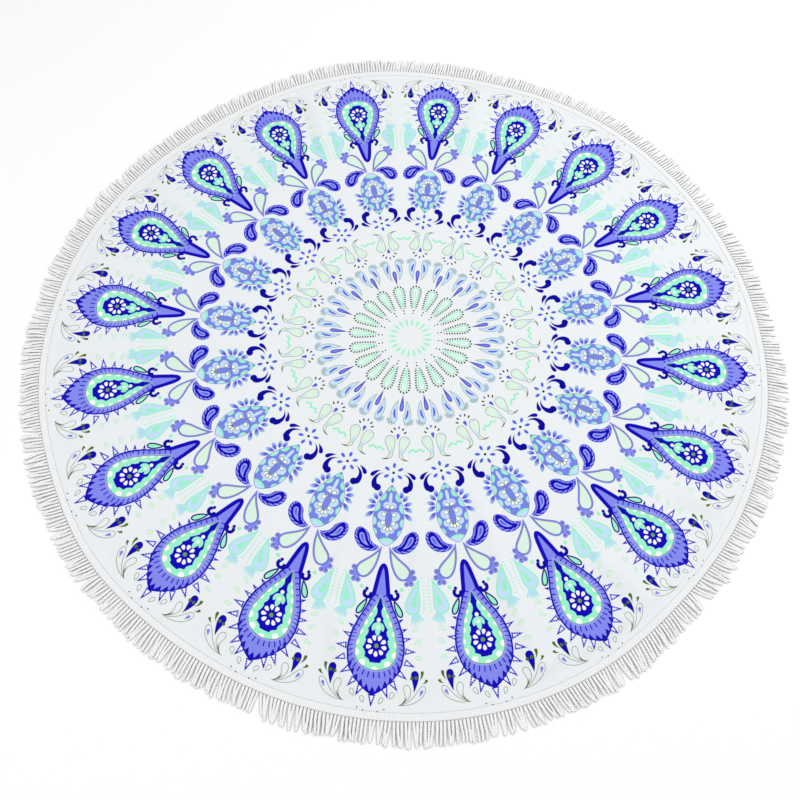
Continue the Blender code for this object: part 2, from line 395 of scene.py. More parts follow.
def make_cloth(material):
    """The face from its middle to its rolled rim, and a plainer back, as one closed sheet. The print's
    map is the flat round in the middle of the map, with the back's small round in its corner."""
    hem_share = 1 - HEM_WIDTH / CLOTH_RADIUS
    face_shares = np.linspace(0, hem_share, FACE_RINGS + 1)[1:]
    face_shares = np.concatenate([face_shares, np.linspace(hem_share, 1, HEM_RINGS + 1)[1:]])
    back_shares = np.linspace(1, 0, BACK_RINGS + 1)[:-1]
    angles = np.arange(FACE_SPOKES) * 360 / FACE_SPOKES
    angle, share = np.meshgrid(angles, np.concatenate([face_shares, back_shares]))
    points = cloth_points(angle, share)
    face_rows = len(face_shares)
    across_hem = np.clip((face_shares - hem_share) / (1 - hem_share), 0, 1)
    swell = (HEM_THICKNESS - CLOTH_THICKNESS) * np.sqrt(np.minimum(1, across_hem / HEM_SWELL_END))
    over_roll = np.clip((across_hem - HEM_ROLL_START) / (1 - HEM_ROLL_START), 0, 1)
    rolled = HEM_SIDE_HEIGHT + (1 - HEM_SIDE_HEIGHT) * np.sqrt(1 - over_roll**2)
    points[:face_rows, :, 2] += ((CLOTH_THICKNESS + swell) * rolled)[:, None]
    middle = cloth_points(np.zeros(1), np.zeros(1))[0]
    count = len(points) * FACE_SPOKES
    all_points = np.concatenate([points.reshape(-1, 3), [middle + (0, 0, CLOTH_THICKNESS), middle]])
    faces = ring_faces(len(points), FACE_SPOKES)
    around = np.arange(FACE_SPOKES)
    beside = (around + 1) % FACE_SPOKES
    last = (len(points) - 1) * FACE_SPOKES
    faces += np.stack([np.full_like(around, count), around, beside], axis=-1).tolist()
    faces += np.stack([np.full_like(around, count + 1), last + beside, last + around], axis=-1).tolist()
    flat = np.stack([share * np.cos(np.radians(angle)), share * np.sin(np.radians(angle))], axis=-1)
    uv = MAP_MIDDLE + MAP_RADIUS * flat
    uv[face_rows:] = BACK_MIDDLE + BACK_RADIUS * flat[face_rows:]
    uv = np.concatenate([uv.reshape(-1, 2), [[MAP_MIDDLE] * 2, [BACK_MIDDLE] * 2]])
    corner = np.concatenate([np.asarray(face) for face in faces])
    corner_uv = uv[corner]
    # The strip at the rim joins the face's last row to the back's first: its map stays with the face.
    strip = slice((face_rows - 1) * FACE_SPOKES * 4, face_rows * FACE_SPOKES * 4)
    outside = corner[strip] >= face_rows * FACE_SPOKES
    inner = corner[strip] - np.where(outside, FACE_SPOKES, 0)
    corner_uv[strip] = MAP_MIDDLE + (uv[inner] - MAP_MIDDLE) * np.where(outside, MAP_OVERLAP, 1)[:, None]
    return add_mesh("towel_cloth", all_points, faces, material, corner_uv, "OFBake")


# The print, in thousandths of its ring's radius: the ring goes through the flowers in the middle of the big
# drops. A place is (across, out): sideways from a wedge's middle line and outward from the cloth's middle.
WEDGES = 20
FIRST_WEDGE = 100.27
PRINT_RING_RADIUS = 0.5909
WEDGE_INSET = 2.2
INK_EDGE = 1.2
TRACK_MARGIN = 2
OFF_END = 0.1
OUTLINE_STEPS = 60
MAP_MIDDLE = 0.5
MAP_RADIUS = 0.485
MAP_OVERLAP = 1.01
BACK_MIDDLE = 0.925
BACK_RADIUS = 0.070
MOTTLE_SCALE = 620.0
NAP_SCALE = 950.0
SLUB_SCALE = 110.0
NAP_DEPTH = 0.0004

WHITE = linear("#EBEFF2")
PAPER = linear("#F8F9F8")
MINT = linear("#9EF2CA")
PALE_MINT = linear("#DDF2E2")
PALE_BLUE = linear("#C6E1FA")
SKY = linear("#B8DFF4")
VIOLET_BLUE = linear("#5A5FDE")
PERIWINKLE = linear("#858BEE")
LAVENDER = linear("#979FF5")
MEDALLION_BLUE = linear("#7A86E6")
ROYAL = linear("#160AB6")
NAVY = linear("#0C0A9A")
DEEP_NAVY = linear("#111078")
OLIVE = linear("#72A03C")
DEEP_OLIVE = linear("#557224")
DARK_OLIVE = linear("#2E3812")
GREY_GREEN = linear("#93A288")
SEED_EDGE = linear("#C0EAD0")
GREY_TEAL = linear("#7C9FA6")
GREY_BLUE = linear("#6E77B8")

# Outlines of the printed forms: half-width = share**tip * (1 - share**full)**end, from start to end
Shape = namedtuple("Shape", "tip full end")
DROP = Shape(1.05, 4.5, 0.5)
LONG_DROP = Shape(0.9, 7, 0.5)
PAISLEY = Shape(0.8, 3.5, 0.5)
CURLED_PAISLEY = Shape(0.66, 4.0, 0.5)
COMMA = Shape(1.2, 12, 0.5)
CURLED_DROP = Shape(1.1, 3.5, 0.5)
PETAL = Shape(0.6, 3, 0.5)
LEAF = Shape(0.8, 1.3, 0.8)
OVAL = Shape(0.5, 1, 0.5)
RAY = Shape(0.8, 30, 0.5)

# Half-widths by distance out, for the forms that no such curve gives
BIG_DROP = (
    (769, 0), (773, 7.5), (781, 12.5), (797, 17.2), (833, 23.5), (867, 29), (900, 42.5), (933, 61.2),
    (967, 75.5), (1000, 83), (1020, 84.2), (1050, 80.5), (1067, 74.8), (1083, 66.2), (1100, 53.5),
    (1117, 38), (1132, 20), (1144, 0),
)
BIG_DROP_FIELD = (
    (783, 0), (791, 3), (833.3, 10.8), (862.5, 15.5), (872.5, 24), (900.7, 37.6), (933.9, 56.2),
    (968.1, 70.4), (1001.2, 77.9), (1021.4, 79), (1051.5, 75.2), (1068.6, 69.5), (1084.7, 60.8),
    (1101.8, 47.8), (1118.9, 30), (1129, 13.5), (1134, 0),
)
INNER_DROP = (
    (866, 0), (883, 9.5), (900, 19.3), (933, 38.3), (967, 51), (1000, 60.3), (1020, 61.7), (1035, 59.5),
    (1048, 53.5), (1060, 42.5), (1068, 27.5), (1072, 14), (1073.3, 0),
)
SCALLOPED_FIELD = (
    (868, 0), (882, 5.5), (896, 10), (903, 6.6), (911, 6), (920, 8.5), (929, 14.5), (934, 12.8), (941, 17),
    (950, 23), (959, 29.2), (964, 26.2), (973, 28), (984, 35), (989, 31.8), (998, 33), (1012.5, 40),
    (1017.5, 35), (1027, 30.5), (1037, 31.8), (1039.5, 25.5), (1044, 18), (1051.4, 15.5), (1051.5, 0),
)
MEDALLION = (
    (525, 0), (533, 7.5), (550, 19), (566, 28.5), (581, 36.7), (597, 43.2), (612.5, 47.2), (628, 48.6),
    (644, 48.4), (660, 46), (675, 41.7), (691, 33.6), (706, 20.8), (714, 10.5), (719.4, 0),
)


def over(value, limit=0):
    """1 where a value is over its limit and 0 where it is under, with a soft edge, as ink has."""
    return value.times_plus(1 / INK_EDGE, 0.5 - limit / INK_EDGE, clamp=True)


def under(value, limit):
    return value.times_plus(-1 / INK_EDGE, 0.5 + limit / INK_EDGE, clamp=True)


def joined(depths):
    """The depth inside any of several outlines, melted together."""
    return reduce(lambda depth, other: depth.math("MAXIMUM", other), depths)


def layers(inks):
    return inks if isinstance(inks, list) else [(0, inks)]


def form_sides(shape, half_width, length, grow):
    """A form's outline moved outward by grow: distances from its start and half-widths there. Each point
    moves along the outline's own normal, and a sharp start gets a round corner."""
    share = 0.5 - 0.5 * np.cos(np.linspace(0, math.pi, OUTLINE_STEPS + 1))
    if isinstance(shape, Shape):
        wide = share**shape.tip * (1 - share**shape.full) ** shape.end
        wide = half_width * wide / wide.max()
    else:
        out, table = np.array(shape).T
        table_share = (out - out[0]) / (out[-1] - out[0])
        share = np.unique(np.concatenate([share, table_share]))
        wide = np.interp(share, table_share, table)
    run, rise = np.gradient(share * length), np.gradient(wide)
    slant = np.maximum(np.hypot(run, rise), 1e-6)
    place, wide = share * length - grow * rise / slant, wide + grow * run / slant
    if grow > 0 and wide[0] > 0:
        corner = np.linspace(-grow, place[0], 4)[:-1]
        rounded = np.sqrt(np.maximum(grow**2 - corner**2, 0))
        place, wide = np.append(corner, place), np.append(rounded, wide)
    kept = wide > 0
    place, wide = place[kept], wide[kept]
    order = np.argsort(place)
    return place[order], wide[order]


Track = namedtuple("Track", "along side length span margin")


class Design:
    """Inks laid one over another on the cloth, in one wedge folded on its middle line, which stands for all
    of them. An ink is (grow, colour): the form's outline moved outward. A bare colour is an ink not moved."""

    def __init__(self, finish, ground):
        self.finish = finish
        self.colour = ground
        size = 1000 * CLOTH_RADIUS / PRINT_RING_RADIUS / MAP_RADIUS
        flat = finish.add("ShaderNodeUVMap", {"uv_map": "OFBake"}, {})
        flat = flat.vector_math("SUBTRACT", (MAP_MIDDLE, MAP_MIDDLE, 0))
        flat = flat.vector_math("MULTIPLY", (size, size, 0))
        east, north, _ = flat.parts()
        self.reach = flat.vector_math("LENGTH", (0, 0, 0), output=1)
        turn = north.math("ARCTAN2", east).times_plus(WEDGES / math.tau, -FIRST_WEDGE * WEDGES / 360)
        turn = turn.math("PINGPONG", 0.5) * (math.tau / WEDGES)
        self.across = self.reach * turn.math("SINE")
        self.out = self.reach * turn.math("COSINE") + WEDGE_INSET
        self.to_border = (math.pi / WEDGES - turn) * self.reach
        self.spot = finish.add("ShaderNodeCombineXYZ", {}, {0: self.across, 1: self.out, 2: 1.0})

    def lay(self, mask, colour, within=None):
        mask = mask if within is None else mask * within
        self.colour = self.finish.mixed(mask, self.colour, colour)

    def lay_depth(self, depth, inks, within=None):
        """Lays each ink wherever the depth inside an outline is over -grow."""
        for grow, colour in layers(inks):
            self.lay(over(depth, -grow), colour, within)

    def distance(self, place):
        return self.spot.vector_math("DISTANCE", (*place, 1), output=1)

    def track(self, start, end, bend, spread):
        """How far each spot lies along a straight or arched line, as a share of a span that begins a margin
        before it, and how far to its side. A bend is the arch's height, to the right of the way."""
        chord = math.dist(start, end)
        way = ((end[0] - start[0]) / chord, (end[1] - start[1]) / chord)
        if not bend:
            margin = 0.05 * chord + spread
            span = chord + 2 * margin
            begun = margin - start[0] * way[0] - start[1] * way[1]
            along = self.spot.dot((way[0] / span, way[1] / span, begun / span))
            if start[0] == end[0] == 0:
                return Track(along, self.across, chord, span, margin)
            side = self.spot.dot((way[1], -way[0], start[1] * way[0] - start[0] * way[1]))
            return Track(along, abs(side), chord, span, margin)
        bulge = (math.copysign(1, bend) * way[1], math.copysign(1, -bend) * way[0])
        radius = chord**2 / (8 * abs(bend)) + abs(bend) / 2
        centre = [(a + b) / 2 - c * (radius - abs(bend)) for a, b, c in zip(start, end, bulge)]
        length = 2 * radius * math.atan2(chord / 2, radius - abs(bend))
        margin = 0.05 * length + spread
        span = length + 2 * margin
        ahead = self.spot.dot((*way, -centre[0] * way[0] - centre[1] * way[1]))
        aside = self.spot.dot((*bulge, -centre[0] * bulge[0] - centre[1] * bulge[1]))
        along = ahead.math("ARCTAN2", aside).times_plus(radius / span, 0.5)
        return Track(along, abs(self.distance(centre) - radius), length, span, margin)

    def half_width(self, track, shape, half_width, grow=0):
        """The half-width of a form as a curve over its track, below zero off both ends."""
        place, wide = form_sides(shape, half_width, track.length, grow)
        before = [-track.margin, place[0] - OFF_END]
        after = [place[-1] + OFF_END, track.length + track.margin]
        place = np.concatenate([before, place, after])
        wide = np.concatenate([[-track.margin, -OFF_END], wide, [-OFF_END, -track.margin]])
        share = np.clip((place + track.margin) / track.span, 0, 1)
        points = list(zip(share.tolist(), wide.tolist()))
        return self.finish.add("ShaderNodeFloatCurve", {"points": points}, {"Value": track.along})

    def forms(self, outlines, inks, within=None, fade=None):
        """Drops, leaves or strokes, melting together, each (start, end, half-width, shape, bend). Where fade
        is given, the last ink thins out between those two shares of the length."""
        inks = layers(inks)
        spread = TRACK_MARGIN + 1.2 * max(0, inks[0][0])
        tracks = [self.track(start, end, bend, spread) for start, end, _, _, bend in outlines]
        for grow, colour in inks:
            depths = (
                self.half_width(track, shape, half_width, grow) - track.side
                for track, (_, _, half_width, shape, _) in zip(tracks, outlines)
            )
            mask = over(joined(depths))
            if fade and (grow, colour) == inks[-1]:
                track = tracks[-1]
                gone, full = [(track.margin + share * track.length) / track.span for share in fade]
                mask = mask * track.along.times_plus(1 / (full - gone), -gone / (full - gone), clamp=True)
            self.lay(mask, colour, within)
        return mask

    def form(self, start, end, half_width, shape, inks, bend=0.0, within=None, fade=None):
        return self.forms([(start, end, half_width, shape, bend)], inks, within, fade)

    def profile(self, widths, inks, within=None):
        """A form on the wedge's middle line, by a list of its half-widths."""
        return self.form((0, widths[0][0]), (0, widths[-1][0]), 0, widths, inks, within=within)

    def beads(self, start, end, half_width, shape, bend, inset, pitch, radius, colour):
        """A row of round beads just inside a form's outline."""
        track = self.track(start, end, bend, TRACK_MARGIN)
        off_row = self.half_width(track, shape, half_width) - track.side - inset
        place = (track.along * track.span - track.side).math("PINGPONG", pitch / 2)
        self.lay_depth(radius - (place * place + off_row * off_row).math("SQRT"), colour)

    def dots(self, spots, inks, within=None):
        """Round dots, each (across, out, radius), melting together where they meet."""
        self.lay_depth(joined(radius - self.distance(place) for *place, radius in spots), inks, within)

    def points(self, spots, slope):
        """The depth inside pointed teeth, each (across, out, way, height): the tip, the way it points in
        degrees anticlockwise from sideways, and how long it is. Slope is its half-width for each length."""
        teeth = []
        for across, out, way, height in spots:
            back = (-math.cos(math.radians(way)), -math.sin(math.radians(way)))
            along = self.spot.dot((*back, -across * back[0] - out * back[1]))
            side = abs(self.spot.dot((back[1], -back[0], out * back[0] - across * back[1])))
            teeth.append(along.times_plus(slope, side * -1).math("MINIMUM", height - along))
        return joined(teeth)

    def fan(self, centre, first, step, near, far, half_width, shape, inks, within=None):
        """Forms set round a centre from near to far, one every step degrees from the first, which is
        measured anticlockwise from sideways."""
        offset = self.spot.vector_math("SUBTRACT", (*centre, 1))
        aside, out, _ = offset.parts()
        turn = out.math("ARCTAN2", aside).times_plus(1 / math.radians(step), -first / step)
        turn = turn.math("PINGPONG", 0.5) * math.radians(step)
        reach = offset.vector_math("LENGTH", (0, 0, 0), output=1)
        side = reach * turn.math("SINE")
        span = far - near + 2 * TRACK_MARGIN
        along = (reach * turn.math("COSINE")).times_plus(1 / span, (TRACK_MARGIN - near) / span)
        track = Track(along, side, far - near, span, TRACK_MARGIN)
        for grow, colour in layers(inks):
            self.lay_depth(self.half_width(track, shape, half_width, grow) - side, colour, within)


def lay_middle(art):
    """Rays, long drops with a row of dashes round them, and slim drops."""
    art.form((0, 45), (0, 79), 6.2, RAY, MINT, fade=(1.0, 0.55))
    over_cap = art.out - 188.5
    round_cap = art.across.math("ARCTAN2", over_cap.math("MAXIMUM", 0)) * 16.5
    dash = (round_cap - over_cap.math("MINIMUM", 0)).math("PINGPONG", 4.3)
    dashes = under(dash, 2.1) * over(art.out, 119.6)
    art.form((0, 119), (0, 203), 11.6, LONG_DROP, [(9.6, DARK_OLIVE)], within=dashes)
    art.form((0, 119), (0, 203), 11.6, LONG_DROP, [(2.6, WHITE), (0, MINT), (-4.6, PAPER)])
    art.form((0, 160), (0, 192), 1.8, OVAL, MINT)
    art.dots([(0, 110, 2.8), (0, 98.5, 2.4)], DARK_OLIVE)
    art.form((0, 215), (0, 275.5), 7, DROP, [(0, DEEP_NAVY), (-1.4, VIOLET_BLUE), (-4.2, PERIWINKLE)])


def lay_pale_paisleys(art):
    """Crowned paisleys, their seeds, and pale curled paisleys with a zigzag between them."""
    crown = over(art.spot.dot((0.6, 0.8, 0)), 263.8)
    for near, far, first in ((6, 10.8, 16), (11.2, 16.8, 0)):
        art.fan((27, 308), first, 32, near, far, 1.9, PETAL, [(0.8, GREY_TEAL), (-0.6, PALE_BLUE)], crown)
    art.form((12.5, 236), (17.5, 318), 11.8, PAISLEY, [(0, GREY_GREEN), (-1.8, PALE_BLUE)], bend=7.2)
    art.form((20.6, 268), (15.8, 302), 3.4, OVAL, VIOLET_BLUE, bend=3)
    art.form((0, 376), (0, 354.5), 5.6, DROP, VIOLET_BLUE)
    art.form((0, 337.5), (0, 327.5), 2.8, OVAL, VIOLET_BLUE)
    art.form((17.5, 352.5), (26.2, 345.5), 2.6, OVAL, DARK_OLIVE)
    art.form((10.8, 342.5), (16.2, 333.5), 2.6, OVAL, DARK_OLIVE)
    curl = [((14, 438), (28.5, 362), 16.8, CURLED_DROP, 2.2), ((43.5, 441), (14.5, 422), 6.6, COMMA, 8)]
    art.forms(curl, [(0, GREY_GREEN), (-2, PALE_MINT)])
    art.form((44.5, 441.5), (18.5, 437), 1.4, LEAF, DARK_OLIVE, bend=3)
    art.form((14.5, 429), (17.5, 399), 3.4, LEAF, PALE_BLUE)
    art.form((18.5, 372), (34.5, 369.5), 2.2, LEAF, PALE_BLUE, bend=2.2)
    zigzag = art.to_border.math("PINGPONG", 11.5).times_plus(-0.75, 413)
    art.lay_depth(3.4 - abs(art.reach - zigzag) * 0.84, MINT, under(art.to_border, 26.4))


def lay_stars(art):
    """Stars between navy commas."""
    art.fan((0, 486), 90, 60, 13.5, 35, 6, LEAF, [(0, SKY), (-1.4, VIOLET_BLUE)])
    art.dots([(0, 486, 4.4)], DARK_OLIVE)
    art.form((28, 489), (49.5, 540), 9.4, COMMA, NAVY, bend=18)
    art.dots([(45.5, 537.5, 11.2)], NAVY)
    art.form((40, 481.5), (69.5, 502), 6.6, DROP, [(0, DEEP_NAVY), (-2, ROYAL)], bend=4)


def lay_medallions(art):
    """Medallions with a leaf spray to each side."""
    for start, end in (
        ((48, 614), (73.5, 635)), ((44, 595), (72.5, 606.5)), ((43, 589), (69, 577.5)),
        ((39, 577), (54, 556)), ((33, 568), (33, 544)),
    ):
        art.form(start, end, 6.6, LEAF, [(0, SKY), (0, VIOLET_BLUE)], fade=(1.05, 0.35))
    art.profile(MEDALLION, GREY_BLUE)
    inside = art.profile(MEDALLION, [(-1.8, MEDALLION_BLUE)])
    art.dots([(44, 679, 13), (50, 644.5, 14.5), (48, 596, 19), (30, 562, 16.5), (9, 538, 8.5)], MINT, inside)
    art.dots([(48, 681, 12), (52, 644.5, 11.5), (50, 593, 15)], PALE_BLUE, inside)
    art.dots([(0, 731, 38)], MINT, inside)
    art.dots([(0, 741, 39.5)], PALE_BLUE, inside)
    flower = [(0, 677, 7), (11.5, 670, 9), (22, 654, 10.5), (20.5, 625, 14), (10, 592, 10.5), (0, 634, 23)]
    art.dots(flower, PALE_BLUE)
    art.form((0, 600), (0, 550), 5.2, PETAL, PALE_BLUE)
    art.form((0, 660), (0, 690), 5, LEAF, PALE_BLUE)
    petals = [
        ((0, 660), (0, 672.5), 4.2, PETAL, 0), ((6, 657), (12.5, 669), 4.4, PETAL, 0),
        ((8.5, 643), (21.5, 651), 5, PETAL, 0), ((9, 621), (22, 620), 5.2, PETAL, 0),
        ((2, 602), (12.5, 592.5), 4.8, PETAL, 0),
    ]
    art.forms(petals, [(1.6, DEEP_OLIVE), (0, PAPER)])
    art.form((0, 608), (0, 661), 10.4, OVAL, [(0, DEEP_OLIVE), (-1.4, MEDALLION_BLUE)])


def lay_stem_forms(art):
    """Beside the big drops' stems: royal paisleys with a beaded edge, and lobed mint drops leaning away."""
    paisley = dict(start=(19.5, 722), end=(73, 669), half_width=23.6, shape=CURLED_PAISLEY, bend=-25)
    art.form(**paisley, inks=[(0, VIOLET_BLUE), (-1, ROYAL)])
    art.beads(**paisley, inset=5.4, pitch=9.8, radius=3.4, colour=LAVENDER)
    art.form(**paisley, inks=[(-8.8, ROYAL), (-15.6, LAVENDER), (-20.2, VIOLET_BLUE)])

    lobes = [(73, 824.5, 7.8), (86.3, 823, 7.8), (93.5, 806.5, 8.2), (87.5, 789, 8.2)]
    art.dots(lobes + [(78.5, 805.5, 13.5)], PERIWINKLE)
    art.dots([(74, 824, 2.8), (86.3, 820, 2.8), (92.7, 805, 2.8), (88, 789, 2.8)], DEEP_OLIVE)
    lobed = dict(start=(10.8, 718), end=(76.5, 807.5), half_width=24, shape=DROP, bend=-8)
    art.form(**lobed, inks=[(0, VIOLET_BLUE), (-1.4, PERIWINKLE), (-5.4, PALE_MINT)])
    art.beads(**lobed, inset=5.8, pitch=4.8, radius=1.5, colour=DEEP_OLIVE)


def lay_flamed_drops(art):
    """Flamed drops, rows of dots and seeds between the wedges."""
    beyond = art.reach - 857
    beside = art.to_border - beyond * beyond * 0.0017 - 7.4
    bead = art.reach.math("PINGPONG", 5.2)
    row = under(abs(art.reach - 858), 50.4)
    art.lay_depth(2.4 - (bead * bead + beside * beside).math("SQRT"), MINT, row)
    crest = art.spot.dot((0.4, 0.917, -857.0138)) - art.distance((99, 891.4)) * 0.87
    art.fan((99, 891.4), 66, 12, 12, 48, 3.6, LEAF, [(0, MINT), (-1, SKY)], over(crest))
    art.form((108.7, 803.4), (94.7, 911.4), 23.5, DROP, [(0, MINT), (-5.2, PALE_BLUE)], bend=-3)
    art.form((105.7, 843.4), (98.7, 888.4), 7.8, DROP, MINT)
    for start, end in (
        ((137.5, 1028.5), (115.5, 1026.5)), ((110, 990.5), (127.5, 976.5)), ((100.5, 957.5), (117, 941.5)),
    ):
        art.form(start, end, 6.8, PETAL, [(0, SEED_EDGE), (-2.2, PALE_MINT)])


def lay_outer_sprays(art):
    """Sprays of small drops, petals and commas near the rim."""
    spray = [(0, GREY_GREEN), (-2, WHITE)]
    art.form((77, 1164), (146.5, 1103), 11.2, DROP, spray, bend=-15)
    art.form((136, 1133.5), (143, 1115.5), 4.6, DROP, PERIWINKLE)
    art.form((86, 1159), (91, 1107), 10.5, DROP, spray, bend=-13)
    art.form((77, 1165), (100, 1137), 1.4, LEAF, DARK_OLIVE, bend=-5)
    art.form((52, 1149), (61.5, 1129), 6.8, PETAL, spray)
    art.form((22.5, 1165.5), (30.5, 1146), 6.4, PETAL, spray)
    art.form((119, 1124.8), (115.5, 1063.8), 11.2, DROP, [(0, DEEP_NAVY), (-2.6, ROYAL)], bend=-3)
    art.dots([(109.5, 1085.8, 4.6), (122.5, 1083, 4.8)], DEEP_OLIVE)
    art.form((130.5, 1090.8), (137.7, 1062.8), 4.6, COMMA, DEEP_OLIVE, bend=-4)
    art.form((140.5, 1097.8), (153.5, 1084.8), 4.2, COMMA, DEEP_OLIVE, bend=-3)
    art.dots([(38.5, 1179.5, 2.1), (20.5, 1187, 2.1)], DARK_OLIVE)


def lay_big_drops(art):
    """First the spikes, then the horns, the drop with its teeth and bars, the inner drop and its flower."""
    tips = (
        (0, 1172.5, 90, 32), (45, 1145.5, 66, 30), (70.5, 1123, 52, 29), (94.2, 1088.5, 33, 29),
        (114.4, 1053, 20, 29), (113.8, 1012, -2, 28), (98, 976, -18, 26), (84.5, 951, -28, 23),
        (70.5, 925, -36, 22),
    )
    spikes = art.points(tips, 0.3)
    speck = under(art.distance((0, 1000)).math("PINGPONG", 3.4), 1.9)
    art.lay_depth(spikes, [(0.8, PERIWINKLE)])
    art.lay_depth(spikes, [(1.4, ROYAL)], speck)
    art.lay_depth(spikes, [(-3.2, PAPER)])
    spike_specks = (
        (0, 1167), (43, 1140.5), (67.3, 1119), (89.7, 1085.5), (109.4, 1051), (108.8, 1012.2), (93.5, 977.5),
        (80.3, 953.5), (66.7, 928),
    )
    art.dots([(*place, 2.6) for place in spike_specks], ROYAL)
    ring = 5.2 - abs(10.6 - art.distance((39.8, 860.8)))
    art.lay_depth(ring, NAVY, over(art.spot.dot((0.45, 0.89, 0)), 779.022))
    art.dots([(43.5, 847.8, 5.2), (29, 863.8, 7.5)], NAVY)
    art.profile(BIG_DROP, ROYAL)
    inside = art.profile(BIG_DROP_FIELD, PERIWINKLE)
    art.dots([(0, 1000, 72)], LAVENDER, inside)
    teeth = (
        (0, 1117, -90, 30), (17.5, 1111, -94, 28), (33, 1099, -103, 26), (46, 1086, -112, 24),
        (56.5, 1071, -121, 24), (64.5, 1055, -130, 22),
    )
    art.lay_depth(art.points(teeth, 0.5), ROYAL, inside)
    fan_bar = art.across.math("ARCTAN2", art.out - 985).math("PINGPONG", 0.078) * 95
    side_bar = art.spot.dot((0.48, 0.877, 0)).math("PINGPONG", 8.3)
    low = under(art.out, 969.4)
    bars = under(side_bar * low + fan_bar * (1 - low), 1.6) * over(art.out, 857.6)
    art.profile(INNER_DROP, [(21.5, ROYAL)], within=bars * inside)
    art.profile(INNER_DROP, [(5, LAVENDER), (0, OLIVE)])
    inside = art.profile(INNER_DROP, [(-2, MINT)])
    scallops = [
        (0, 1072, 10), (36.5, 1054, 9.5), (56, 1027.5, 9.2), (59.5, 998, 9), (51, 968, 8.4), (38.8, 942, 7.6),
        (26.8, 919, 6.4), (16, 899, 5),
    ]
    art.dots(scallops, PAPER, inside)
    art.profile(SCALLOPED_FIELD, ROYAL)
    art.fan((0, 1005), 90, 40, 14.5, 30, 5.6, PETAL, PAPER)
    art.dots([(0, 1005, 6.2)], OLIVE)
    art.forms([((1, 940), (15, 964.5), 6.4, LEAF, 3), ((0, 938), (0, 979), 8, LEAF, 0)], MINT)
    art.dots([(0, 953.5, 5.2), (0, 933, 5.8)], PAPER)
    art.form((40.5, 877), (66.5, 919.5), 9.2, PETAL, [(1, DEEP_NAVY), (-3.4, MINT)])
    art.dots([(60, 842, 6.2)], MINT)


def printed_towelling():
    """White cotton towelling with a fine nap, printed with a traditional mandala of twenty like wedges."""
    finish = Finish("printed towelling")
    mandala = Design(finish, WHITE)
    for lay_forms in (
        lay_middle, lay_pale_paisleys, lay_stars, lay_medallions, lay_stem_forms, lay_flamed_drops,
        lay_outer_sprays, lay_big_drops,
    ):
        lay_forms(mandala)
    mottle = finish.noise(MOTTLE_SCALE).times_plus(0.9, -0.2, clamp=True)
    colour = finish.mixed(mottle, mandala.colour, linear("#F6F6F6"), "MULTIPLY")
    nap = finish.noise(NAP_SCALE, 1.0) + finish.noise(SLUB_SCALE, 1.0) * 0.7
    return finish.surface(colour, nap, NAP_DEPTH, 0.4, 0.95, 0.04)


cloth = make_cloth(printed_towelling())
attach(cloth, "root")
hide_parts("cloth")


# ------------------------------
# The fringe's heading: a narrow white band of cord laid up and down in close upright loops and held by
# crossing threads, sewn on all round. Each loop carries one hanging cord.

SEWING_GAP = 0.0005
HEADING_WIDTH = 0.012
HEADING_THICKNESS = 0.0035
CORDS = 700
STEPS_PER_LOOP = 8
LOOP_BEND = 0.25
SEAM = 0.0001
RIB_HEIGHT = 0.0009
RIB_FOOT = 0.4
RIB_SHARPNESS = 1.5
BINDING_ROWS = (0.42, 0.72)
BINDING_WIDTH = 0.06
BINDING_DEPTH = 0.0004
FUZZ_SCALE = 1500.0
PATCH_SCALE = 45.0
# How sharply the painted shade between cords sets in on their low sides, and how the strands break it up
PAINTED_SHADE_SHARPNESS = 3.0
PAINTED_SHADE_BREAKS = 0.7

# The rows of the band's points: (share of the way across, share of the full height)
HEADING_ROWS = (
    (0, 0), (0, 0.86), (0.05, 0.95), (0.13, 1), (0.25, 1), (0.36, 1), (0.45, 1), (0.56, 1), (0.66, 1),
    (0.76, 1), (0.88, 0.97), (0.97, 0.82), (1, 0),
)


def twisted_white(name, ply, turns, depth, shade, painted_hollow_shade=None, white="#FEFEFE"):
    """White cotton cord: strands laid round it at a slant, by its own map of length and turn, the grooves
    between them painted in the shade colour as painted shade. Where a colour for the painted shade between
    cords is given, the cord is painted that colour low down on both sides, where cords lie together."""
    finish = Finish(name)
    length, around, _ = finish.add("ShaderNodeUVMap", {"uv_map": "run"}, {}).parts()
    strand = abs(((length * ply + around * turns) * math.tau).math("SINE"))
    # Painted shade: in the grooves between the strands the colour goes to the darker shade colour
    colour = finish.mixed(strand.times_plus(1.8, 0, clamp=True), linear(shade), linear(white))
    colour = finish.mixed(finish.noise(PATCH_SCALE) * 0.4, colour, linear("#F4F4F3"))
    # Painted shade: low down on both sides the cord is darkened, as the shade where cords lie together
    if painted_hollow_shade:
        height = (around * math.tau).math("SINE")
        height = height.times_plus(PAINTED_SHADE_SHARPNESS, strand * PAINTED_SHADE_BREAKS, clamp=True)
        colour = finish.mixed(height, linear(painted_hollow_shade), colour)
    return finish.surface(colour, strand + finish.noise(FUZZ_SCALE) * 0.35, depth, 0.5, 0.95, 0.1)


def heading_points(step, across, up):
    """A flat band with rounded sides, up being the share of its full height. On it each loop is an upright
    ridge out and another back, joined by a half round at the sewn side, and the crossing threads press it
    down in rows."""
    loop = (step / STEPS_PER_LOOP) % 1 * 2 - 1
    bend = np.clip((LOOP_BEND - across) / LOOP_BEND, 0, 1)
    off_ridge = np.abs(np.sqrt(loop**2 + (0.5 * bend) ** 2) - 0.5)
    ridge = np.cos(np.clip(off_ridge * 2, 0, 1) * math.pi / 2) ** RIB_SHARPNESS
    pressed = sum(np.exp(-(((across - row) / BINDING_WIDTH) ** 2)) for row in BINDING_ROWS)
    height = up * (HEADING_THICKNESS + RIB_HEIGHT * (ridge - RIB_FOOT) - BINDING_DEPTH * pressed)
    angle = step / (CORDS * STEPS_PER_LOOP) * 360
    radius = CLOTH_RADIUS + SEAM + (SEWING_GAP - SEAM + HEADING_WIDTH) * across + rim_offset(angle)
    x, y = placed(angle, radius)
    return np.stack([x, y, height], axis=-1)


